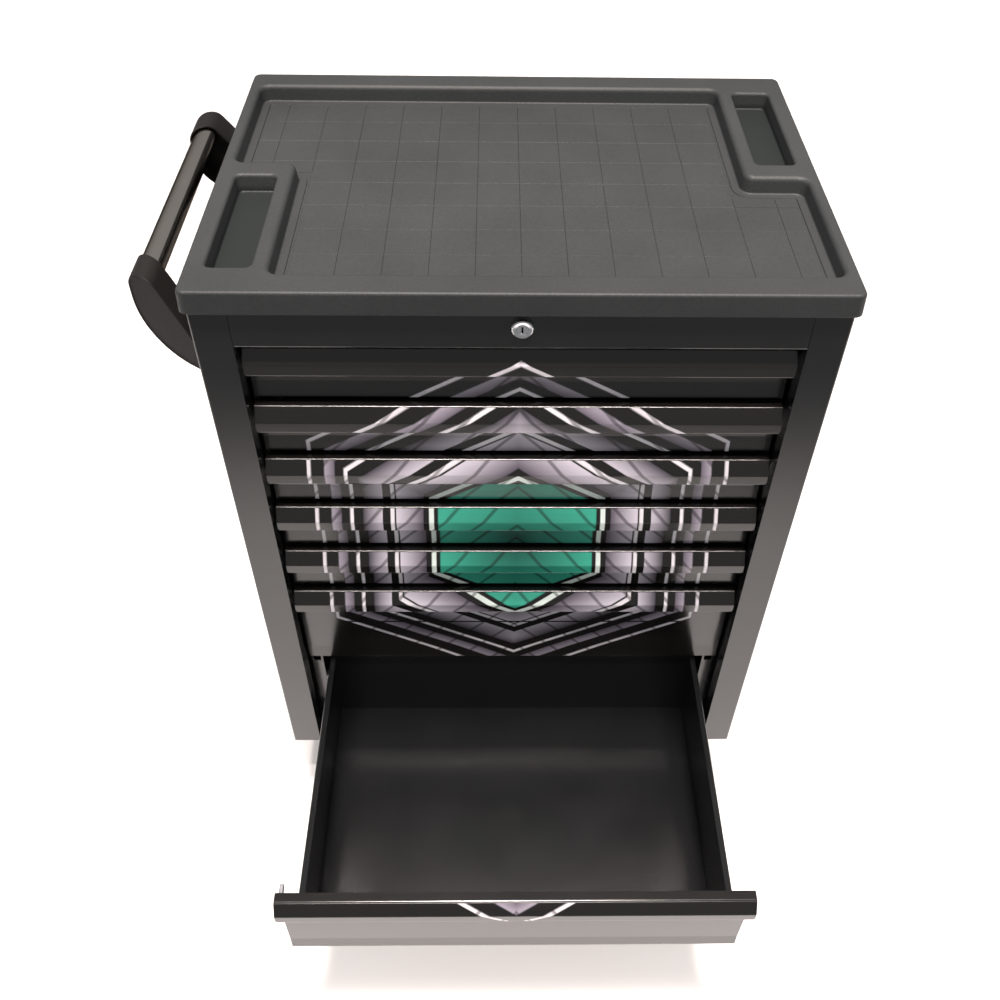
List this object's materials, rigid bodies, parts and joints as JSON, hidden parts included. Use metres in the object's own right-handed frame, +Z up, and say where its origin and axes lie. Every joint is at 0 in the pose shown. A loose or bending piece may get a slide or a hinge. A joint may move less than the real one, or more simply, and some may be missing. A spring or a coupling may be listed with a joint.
{
  "type": "rolling tool cabinet",
  "caption": "Rolling steel tool cabinet with drawers on telescopic slides, a moulded top tray, a key lock, a side push handle and casters.",
  "frame": {"origin": "on the floor, under the middle of the cabinet's body", "axes": "+X to the right as seen from the front, +Y to the back, +Z up; the drawers open towards -Y"},
  "size_m": [0.7591, 0.81, 0.997],
  "materials": {
    "black_paint": "semi-gloss black powder coat on steel sheet",
    "tray_plastic": "fine-textured dark grey ABS",
    "handle_plastic": "dark grey glass-filled nylon",
    "handle_steel": "grey powder coat on steel tube",
    "zinc_steel": "bright zinc plate",
    "lock_chrome": "polished chrome plate",
    "wheel_rubber": "solid grey rubber on a plastic core",
    "pedal_plastic": "black nylon"
  },
  "bodies": {
    "cabinet": {"side_left": "black_paint", "side_right": "black_paint", "back_panel": "black_paint", "base_pan": "black_paint", "top_tray": "tray_plastic", "lock_fascia": "black_paint", "slide_outers": "zinc_steel", "handle_brackets": "handle_plastic", "handle_tube": "handle_steel", "lock_housing": "lock_chrome", "fixed_caster_brackets": "zinc_steel", "fixed_axles": "zinc_steel", "swivel_plates": "zinc_steel"},
    "drawer_1": {"drawer_1": "black_paint", "drawer_pull_1": "black_paint", "drawer_runners_1": "zinc_steel"},
    "slide_1": {"slide_middles_1": "zinc_steel"},
    "latch_1": {"drawer_latch_1": "zinc_steel"},
    "drawer_2": {"drawer_2": "black_paint", "drawer_pull_2": "black_paint", "drawer_runners_2": "zinc_steel"},
    "slide_2": {"slide_middles_2": "zinc_steel"},
    "latch_2": {"drawer_latch_2": "zinc_steel"},
    "drawer_3": {"drawer_3": "black_paint", "drawer_pull_3": "black_paint", "drawer_runners_3": "zinc_steel"},
    "slide_3": {"slide_middles_3": "zinc_steel"},
    "latch_3": {"drawer_latch_3": "zinc_steel"},
    "drawer_4": {"drawer_4": "black_paint", "drawer_pull_4": "black_paint", "drawer_runners_4": "zinc_steel"},
    "slide_4": {"slide_middles_4": "zinc_steel"},
    "latch_4": {"drawer_latch_4": "zinc_steel"},
    "drawer_5": {"drawer_5": "black_paint", "drawer_pull_5": "black_paint", "drawer_runners_5": "zinc_steel"},
    "slide_5": {"slide_middles_5": "zinc_steel"},
    "latch_5": {"drawer_latch_5": "zinc_steel"},
    "drawer_6": {"drawer_6": "black_paint", "drawer_pull_6": "black_paint", "drawer_runners_6": "zinc_steel"},
    "slide_6": {"slide_middles_6": "zinc_steel"},
    "latch_6": {"drawer_latch_6": "zinc_steel"},
    "drawer_7": {"drawer_7": "black_paint", "drawer_pull_7": "black_paint", "drawer_runners_7": "zinc_steel"},
    "slide_7": {"slide_middles_7": "zinc_steel"},
    "latch_7": {"drawer_latch_7": "zinc_steel"},
    "lock": {"lock_plug": "lock_chrome"},
    "lock_bar": {"lock_bar": "zinc_steel"},
    "caster_front": {"swivel_fork_front": "zinc_steel", "swivel_axle_front": "zinc_steel"},
    "wheel_left_front": {"wheel_left_front": "wheel_rubber"},
    "wheel_right_front": {"wheel_right_front": "wheel_rubber"},
    "brake_front": {"brake_pedal_front": "pedal_plastic"},
    "caster_rear": {"swivel_fork_rear": "zinc_steel", "swivel_axle_rear": "zinc_steel"},
    "wheel_left_rear": {"wheel_left_rear": "wheel_rubber"},
    "wheel_right_rear": {"wheel_right_rear": "wheel_rubber"},
    "brake_rear": {"brake_pedal_rear": "pedal_plastic"}
  },
  "joints": [
    {"name": "drawer_1_slide", "type": "slide", "parent": "cabinet", "child": "drawer_1", "axis": [0, -1, 0], "range_m": [0, 0.345]},
    {"name": "slide_1_travel", "type": "slide", "parent": "cabinet", "child": "slide_1", "axis": [0, -1, 0], "range_m": [0, 0.1725]},
    {"name": "latch_1_press", "type": "slide", "parent": "drawer_1", "child": "latch_1", "axis": [1, 0, 0], "range_m": [0, 0.004], "stiffness_N_per_m": 300},
    {"name": "drawer_2_slide", "type": "slide", "parent": "cabinet", "child": "drawer_2", "axis": [0, -1, 0], "range_m": [0, 0.345]},
    {"name": "slide_2_travel", "type": "slide", "parent": "cabinet", "child": "slide_2", "axis": [0, -1, 0], "range_m": [0, 0.1725]},
    {"name": "latch_2_press", "type": "slide", "parent": "drawer_2", "child": "latch_2", "axis": [1, 0, 0], "range_m": [0, 0.004], "stiffness_N_per_m": 300},
    {"name": "drawer_3_slide", "type": "slide", "parent": "cabinet", "child": "drawer_3", "axis": [0, -1, 0], "range_m": [0, 0.345]},
    {"name": "slide_3_travel", "type": "slide", "parent": "cabinet", "child": "slide_3", "axis": [0, -1, 0], "range_m": [0, 0.1725]},
    {"name": "latch_3_press", "type": "slide", "parent": "drawer_3", "child": "latch_3", "axis": [1, 0, 0], "range_m": [0, 0.004], "stiffness_N_per_m": 300},
    {"name": "drawer_4_slide", "type": "slide", "parent": "cabinet", "child": "drawer_4", "axis": [0, -1, 0], "range_m": [0, 0.345]},
    {"name": "slide_4_travel", "type": "slide", "parent": "cabinet", "child": "slide_4", "axis": [0, -1, 0], "range_m": [0, 0.1725]},
    {"name": "latch_4_press", "type": "slide", "parent": "drawer_4", "child": "latch_4", "axis": [1, 0, 0], "range_m": [0, 0.004], "stiffness_N_per_m": 300},
    {"name": "drawer_5_slide", "type": "slide", "parent": "cabinet", "child": "drawer_5", "axis": [0, -1, 0], "range_m": [0, 0.345]},
    {"name": "slide_5_travel", "type": "slide", "parent": "cabinet", "child": "slide_5", "axis": [0, -1, 0], "range_m": [0, 0.1725]},
    {"name": "latch_5_press", "type": "slide", "parent": "drawer_5", "child": "latch_5", "axis": [1, 0, 0], "range_m": [0, 0.004], "stiffness_N_per_m": 300},
    {"name": "drawer_6_slide", "type": "slide", "parent": "cabinet", "child": "drawer_6", "axis": [0, -1, 0], "range_m": [0, 0.345]},
    {"name": "slide_6_travel", "type": "slide", "parent": "cabinet", "child": "slide_6", "axis": [0, -1, 0], "range_m": [0, 0.1725]},
    {"name": "latch_6_press", "type": "slide", "parent": "drawer_6", "child": "latch_6", "axis": [1, 0, 0], "range_m": [0, 0.004], "stiffness_N_per_m": 300},
    {"name": "drawer_7_slide", "type": "slide", "parent": "cabinet", "child": "drawer_7", "axis": [0, -1, 0], "range_m": [-0.343, 0.002]},
    {"name": "slide_7_travel", "type": "slide", "parent": "cabinet", "child": "slide_7", "axis": [0, -1, 0], "range_m": [-0.1715, 0.001]},
    {"name": "latch_7_press", "type": "slide", "parent": "drawer_7", "child": "latch_7", "axis": [1, 0, 0], "range_m": [0, 0.004], "stiffness_N_per_m": 300},
    {"name": "lock_turn", "type": "hinge", "parent": "cabinet", "child": "lock", "pos_m": [0, -0.232, 0.9494], "axis": [0, 1, 0], "range_deg": [0, 90]},
    {"name": "lock_bar_drop", "type": "slide", "parent": "cabinet", "child": "lock_bar", "axis": [0, 0, 1], "range_m": [-0.012, 0]},
    {"name": "caster_front_swivel", "type": "hinge", "parent": "cabinet", "child": "caster_front", "pos_m": [-0.262, -0.175, 0.11], "axis": [0, 0, 1], "continuous": true},
    {"name": "wheel_left_front_spin", "type": "hinge", "parent": "caster_front", "child": "wheel_left_front", "pos_m": [-0.227, -0.175, 0.05], "axis": [0, 1, 0], "continuous": true},
    {"name": "wheel_right_front_spin", "type": "hinge", "parent": "cabinet", "child": "wheel_right_front", "pos_m": [0.262, -0.175, 0.05], "axis": [0, 1, 0], "continuous": true},
    {"name": "brake_front_press", "type": "hinge", "parent": "caster_front", "child": "brake_front", "pos_m": [-0.18669, -0.175, 0.0903], "axis": [0, 1, 0], "range_deg": [0, 14]},
    {"name": "caster_rear_swivel", "type": "hinge", "parent": "cabinet", "child": "caster_rear", "pos_m": [-0.262, 0.175, 0.11], "axis": [0, 0, 1], "continuous": true},
    {"name": "wheel_left_rear_spin", "type": "hinge", "parent": "caster_rear", "child": "wheel_left_rear", "pos_m": [-0.227, 0.175, 0.05], "axis": [0, 1, 0], "continuous": true},
    {"name": "wheel_right_rear_spin", "type": "hinge", "parent": "cabinet", "child": "wheel_right_rear", "pos_m": [0.262, 0.175, 0.05], "axis": [0, 1, 0], "continuous": true},
    {"name": "brake_rear_press", "type": "hinge", "parent": "caster_rear", "child": "brake_rear", "pos_m": [-0.18669, 0.175, 0.0903], "axis": [0, 1, 0], "range_deg": [0, 14]}
  ],
  "couplings": [
    {"joint": "slide_1_travel", "follows": "drawer_1_slide", "ratio": 0.5},
    {"joint": "slide_2_travel", "follows": "drawer_2_slide", "ratio": 0.5},
    {"joint": "slide_3_travel", "follows": "drawer_3_slide", "ratio": 0.5},
    {"joint": "slide_4_travel", "follows": "drawer_4_slide", "ratio": 0.5},
    {"joint": "slide_5_travel", "follows": "drawer_5_slide", "ratio": 0.5},
    {"joint": "slide_6_travel", "follows": "drawer_6_slide", "ratio": 0.5},
    {"joint": "slide_7_travel", "follows": "drawer_7_slide", "ratio": 0.5},
    {"joint": "lock_turn", "follows": "lock_bar_drop", "rad_per_m": -130.89}
  ]
}
